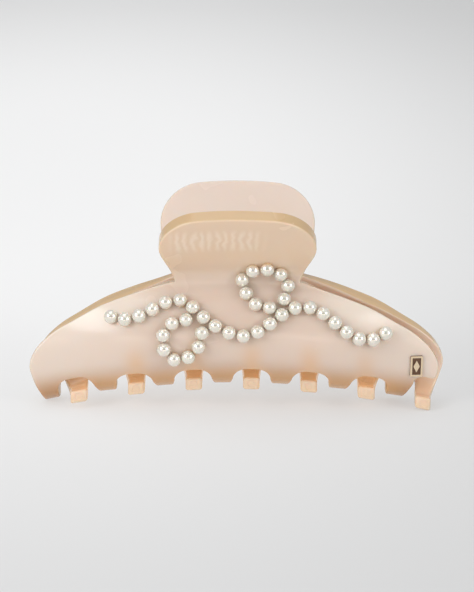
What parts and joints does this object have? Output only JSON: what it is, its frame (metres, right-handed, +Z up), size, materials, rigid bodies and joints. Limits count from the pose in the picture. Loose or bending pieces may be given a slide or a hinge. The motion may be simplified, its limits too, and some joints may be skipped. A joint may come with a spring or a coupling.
{
  "type": "hair claw clip",
  "caption": "Wide sprung hair claw clip: two bowed, toothed jaws in glossy blush plastic, hinged on a pin, with imitation pearls laid in looping lines on the front jaw.",
  "frame": {"origin": "centre of the bottom of the bounding box, on the surface that the end teeth stand on, midway between the jaws", "axes": "+X runs along the clip and is its longest side, +Z is up from the teeth to the handles, and the decorated front jaw faces -Y"},
  "size_m": [0.1108, 0.0396, 0.0569],
  "materials": {
    "jaw_plastic": "polished, slightly translucent blush plastic",
    "pin_steel": "plain drawn steel",
    "spring_steel": "bright spring wire",
    "badge_metal": "pale gold plate, polished",
    "pearl": "cream pearl lacquer"
  },
  "bodies": {
    "back_half": {"back_jaw": "jaw_plastic", "hinge_pin": "pin_steel", "torsion_spring": "spring_steel"},
    "front_half": {"front_jaw": "jaw_plastic", "badge": "badge_metal", "pearl_01": "pearl", "pearl_02": "pearl", "pearl_03": "pearl", "pearl_04": "pearl", "pearl_05": "pearl", "pearl_06": "pearl", "pearl_07": "pearl", "pearl_08": "pearl", "pearl_09": "pearl", "pearl_10": "pearl", "pearl_11": "pearl", "pearl_12": "pearl", "pearl_13": "pearl", "pearl_14": "pearl", "pearl_15": "pearl", "pearl_16": "pearl", "pearl_17": "pearl", "pearl_18": "pearl", "pearl_19": "pearl", "pearl_20": "pearl", "pearl_21": "pearl", "pearl_22": "pearl", "pearl_23": "pearl", "pearl_24": "pearl", "pearl_25": "pearl", "pearl_26": "pearl", "pearl_27": "pearl", "pearl_28": "pearl", "pearl_29": "pearl", "pearl_30": "pearl", "pearl_31": "pearl", "pearl_32": "pearl", "pearl_33": "pearl", "pearl_34": "pearl", "pearl_35": "pearl", "pearl_36": "pearl", "pearl_37": "pearl", "pearl_38": "pearl", "pearl_39": "pearl"}
  },
  "joints": [
    {"name": "jaw_hinge", "type": "hinge", "parent": "back_half", "child": "front_half", "pos_m": [0, 0, 0.04217], "axis": [-1, 0, 0], "range_deg": [0, 60], "stiffness_Nm_per_rad": 0.02, "springref_deg": -68.75, "deforming": ["torsion_spring"]}
  ]
}
